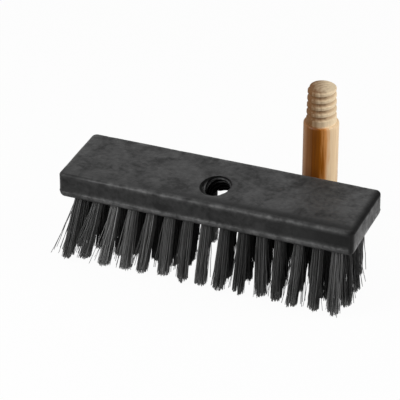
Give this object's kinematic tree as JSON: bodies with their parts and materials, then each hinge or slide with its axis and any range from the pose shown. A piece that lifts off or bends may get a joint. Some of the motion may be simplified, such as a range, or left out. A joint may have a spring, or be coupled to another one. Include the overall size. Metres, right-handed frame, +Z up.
{
  "type": "scrub brush",
  "caption": "Scrub brush head: a flat moulded block with rows of stiff filament tufts below and a slanting threaded handle socket, with the threaded handle end standing loose behind.",
  "frame": {"origin": "middle of the handle socket's mouth, where its axis meets the block's top face", "axes": "+X along the block, +Z up away from the bristle tips, -Y the front, the side that the handle socket leans to"},
  "size_m": [0.2032, 0.114, 0.11],
  "materials": {
    "block_plastic": "moulded foam skin, mottled, low sheen",
    "bristle": "extruded filament, slight sheen along its length",
    "anchor_metal": "drawn flat wire",
    "handle_wood": "turned hardwood, clear varnish on the plain part, bare thread"
  },
  "bodies": {
    "head": {"block": "block_plastic", "tuft_anchors": "anchor_metal", "tuft_r1_c01": "bristle", "tuft_r1_c02": "bristle", "tuft_r1_c03": "bristle", "tuft_r1_c04": "bristle", "tuft_r1_c05": "bristle", "tuft_r1_c06": "bristle", "tuft_r1_c07": "bristle", "tuft_r1_c08": "bristle", "tuft_r1_c09": "bristle", "tuft_r1_c10": "bristle", "tuft_r1_c11": "bristle", "tuft_r1_c12": "bristle", "tuft_r1_c13": "bristle", "tuft_r1_c14": "bristle", "tuft_r1_c15": "bristle", "tuft_r2_c01": "bristle", "tuft_r2_c02": "bristle", "tuft_r2_c03": "bristle", "tuft_r2_c04": "bristle", "tuft_r2_c05": "bristle", "tuft_r2_c06": "bristle", "tuft_r2_c07": "bristle", "tuft_r2_c09": "bristle", "tuft_r2_c10": "bristle", "tuft_r2_c11": "bristle", "tuft_r2_c12": "bristle", "tuft_r2_c13": "bristle", "tuft_r2_c14": "bristle", "tuft_r2_c15": "bristle", "tuft_r3_c01": "bristle", "tuft_r3_c02": "bristle", "tuft_r3_c03": "bristle", "tuft_r3_c04": "bristle", "tuft_r3_c05": "bristle", "tuft_r3_c06": "bristle", "tuft_r3_c10": "bristle", "tuft_r3_c11": "bristle", "tuft_r3_c12": "bristle", "tuft_r3_c13": "bristle", "tuft_r3_c14": "bristle", "tuft_r3_c15": "bristle", "tuft_r4_c01": "bristle", "tuft_r4_c02": "bristle", "tuft_r4_c03": "bristle", "tuft_r4_c04": "bristle", "tuft_r4_c05": "bristle", "tuft_r4_c06": "bristle", "tuft_r4_c07": "bristle", "tuft_r4_c09": "bristle", "tuft_r4_c10": "bristle", "tuft_r4_c11": "bristle", "tuft_r4_c12": "bristle", "tuft_r4_c13": "bristle", "tuft_r4_c14": "bristle", "tuft_r4_c15": "bristle"},
    "handle": {"threaded_handle": "handle_wood"}
  },
  "joints": [
    {"name": "handle_lift", "type": "slide", "parent": "head", "child": "handle", "axis": [0, 0, 1], "range_m": [0, 0.12]}
  ]
}
